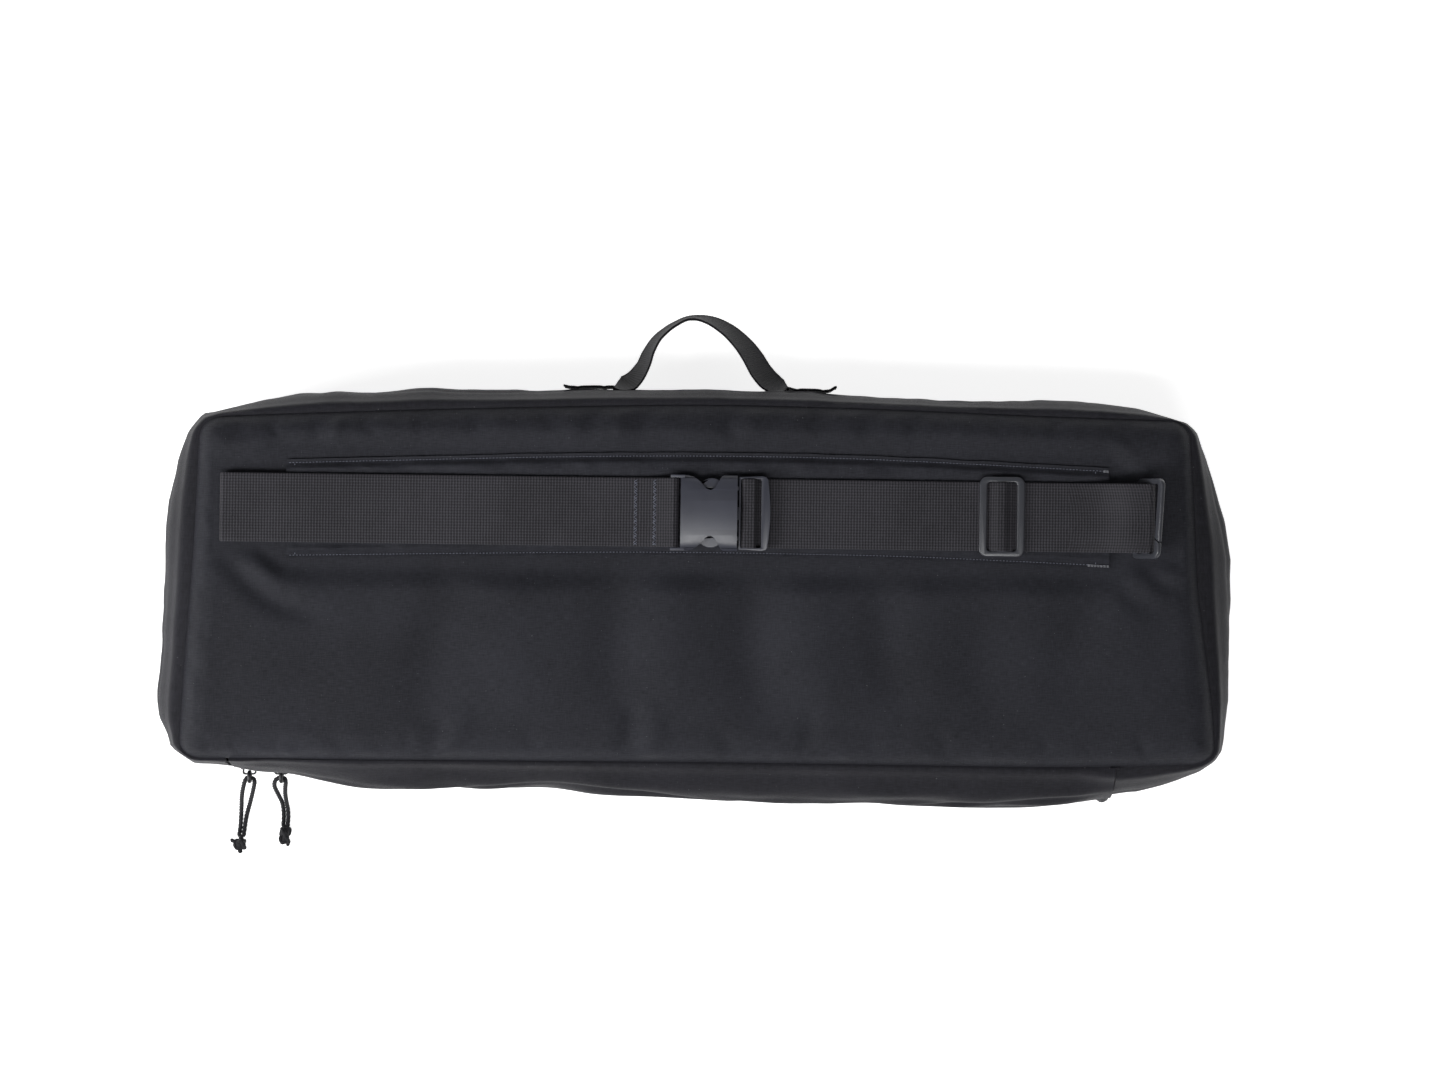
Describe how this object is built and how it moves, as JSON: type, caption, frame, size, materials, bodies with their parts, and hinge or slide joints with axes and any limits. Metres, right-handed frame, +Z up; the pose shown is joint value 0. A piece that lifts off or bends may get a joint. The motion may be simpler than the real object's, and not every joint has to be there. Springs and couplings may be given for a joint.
{
  "type": "belted padded carry bag",
  "caption": "Long flat padded carry bag with a zipped gusset, a grab handle and a webbing belt closed by a side-release buckle.",
  "frame": {"origin": "centre of the back panel's flat underside, which the bag lies on", "axes": "+X along the bag's length, +Y towards the grab handle, +Z up out of the front panel that carries the belt"},
  "size_m": [0.7728, 0.3947, 0.1306],
  "materials": {
    "shell_fabric": "fine plain-woven black nylon, dull",
    "foam": "closed-cell foam, matt",
    "lining_fabric": "light coated lining",
    "binding_tape": "woven binding tape",
    "belt_webbing": "ribbed nylon webbing",
    "handle_webbing": "smooth nylon webbing",
    "zip_tape": "knitted zip tape",
    "zip_coil": "nylon coil",
    "slider_metal": "black enamelled die-cast metal",
    "pull_cord": "braided nylon cord",
    "buckle_plastic": "semi-gloss black moulded plastic"
  },
  "bodies": {
    "bag": {"back_foam": "foam", "back_lining": "lining_fabric", "back_panel": "shell_fabric", "back_seam_binding": "binding_tape", "belt_back_run": "belt_webbing", "belt_left_run": "belt_webbing", "belt_right_fold": "belt_webbing", "belt_right_run": "belt_webbing", "belt_sleeve": "shell_fabric", "belt_tail": "belt_webbing", "buckle_socket": "buckle_plastic", "front_foam": "foam", "front_lining": "lining_fabric", "front_panel": "shell_fabric", "front_seam_binding": "binding_tape", "handle_end_left": "handle_webbing", "handle_end_right": "handle_webbing", "left_gusset": "shell_fabric", "right_gusset": "shell_fabric", "top_gusset": "shell_fabric", "zip_coil_left_end": "zip_coil", "zip_coil_rear": "zip_coil", "zip_coil_right_end": "zip_coil", "zip_gusset_left_end": "shell_fabric", "zip_gusset_rear": "shell_fabric", "zip_gusset_right_end": "shell_fabric", "zip_tape_left_end": "zip_tape", "zip_tape_rear": "zip_tape", "zip_tape_right_end": "zip_tape"},
    "mouth_flap": {"zip_gusset_front": "shell_fabric", "zip_tape_front": "zip_tape", "zip_coil_front": "zip_coil"},
    "slider_left": {"slider_left": "slider_metal"},
    "pull_left": {"pull_ring_left": "slider_metal", "pull_cord_left_outer": "pull_cord", "pull_cord_left_inner": "pull_cord", "pull_knot_left": "pull_cord"},
    "slider_right": {"slider_right": "slider_metal"},
    "pull_right": {"pull_ring_right": "slider_metal", "pull_cord_right_outer": "pull_cord", "pull_cord_right_inner": "pull_cord", "pull_knot_right": "pull_cord"},
    "handle": {"handle_webbing": "handle_webbing"},
    "insert": {"buckle_insert": "buckle_plastic", "insert_webbing": "belt_webbing"},
    "arm_upper": {"spring_arm_upper": "buckle_plastic"},
    "arm_lower": {"spring_arm_lower": "buckle_plastic"},
    "adjuster": {"adjuster_slide": "buckle_plastic", "adjuster_webbing": "belt_webbing"},
    "hook_slide": {"hook_slide": "buckle_plastic"}
  },
  "joints": [
    {"name": "mouth_open", "type": "hinge", "parent": "bag", "child": "mouth_flap", "pos_m": [0, -0.1235, 0.092], "axis": [-1, 0, 0], "range_deg": [0, 85]},
    {"name": "right_slider_run", "type": "slide", "parent": "bag", "child": "slider_right", "axis": [1, 0, 0], "range_m": [0, 0.578]},
    {"name": "left_slider_run", "type": "slide", "parent": "bag", "child": "slider_left", "axis": [1, 0, 0], "range_m": [-0.001, 0.008]},
    {"name": "left_pull_swing", "type": "hinge", "parent": "slider_left", "child": "pull_left", "pos_m": [-0.3235, -0.1346, 0.036], "axis": [0, 0, -1], "range_deg": [-4, 24]},
    {"name": "right_pull_swing", "type": "hinge", "parent": "slider_right", "child": "pull_right", "pos_m": [-0.3005, -0.1346, 0.036], "axis": [0, 0, 1], "range_deg": [-4, 24]},
    {"name": "handle_swing", "type": "hinge", "parent": "bag", "child": "handle", "pos_m": [0.0028, 0.1433, 0.0625], "axis": [1, 0, 0], "range_deg": [0, 85]},
    {"name": "buckle_release", "type": "slide", "parent": "bag", "child": "insert", "axis": [0.9999, -0.0131, 0], "range_m": [0, 0.045]},
    {"name": "upper_arm_squeeze", "type": "hinge", "parent": "insert", "child": "arm_upper", "pos_m": [0.02923, 0.06862, 0.1095], "axis": [0, 0, 1], "range_deg": [0, 9], "stiffness_Nm_per_rad": 0.05},
    {"name": "lower_arm_squeeze", "type": "hinge", "parent": "insert", "child": "arm_lower", "pos_m": [0.02877, 0.03362, 0.1095], "axis": [0, 0, -1], "range_deg": [0, 9], "stiffness_Nm_per_rad": 0.05},
    {"name": "adjuster_run", "type": "slide", "parent": "bag", "child": "adjuster", "axis": [0.9999, -0.0131, 0], "range_m": [-0.04, 0.028]},
    {"name": "hook_slide_tilt", "type": "hinge", "parent": "bag", "child": "hook_slide", "pos_m": [0.31697, 0.04735, 0.11619], "axis": [0.0131, 0.9999, 0], "range_deg": [-14, 7]}
  ],
  "couplings": [
    {"joint": "lower_arm_squeeze", "follows": "upper_arm_squeeze", "ratio": 1}
  ]
}
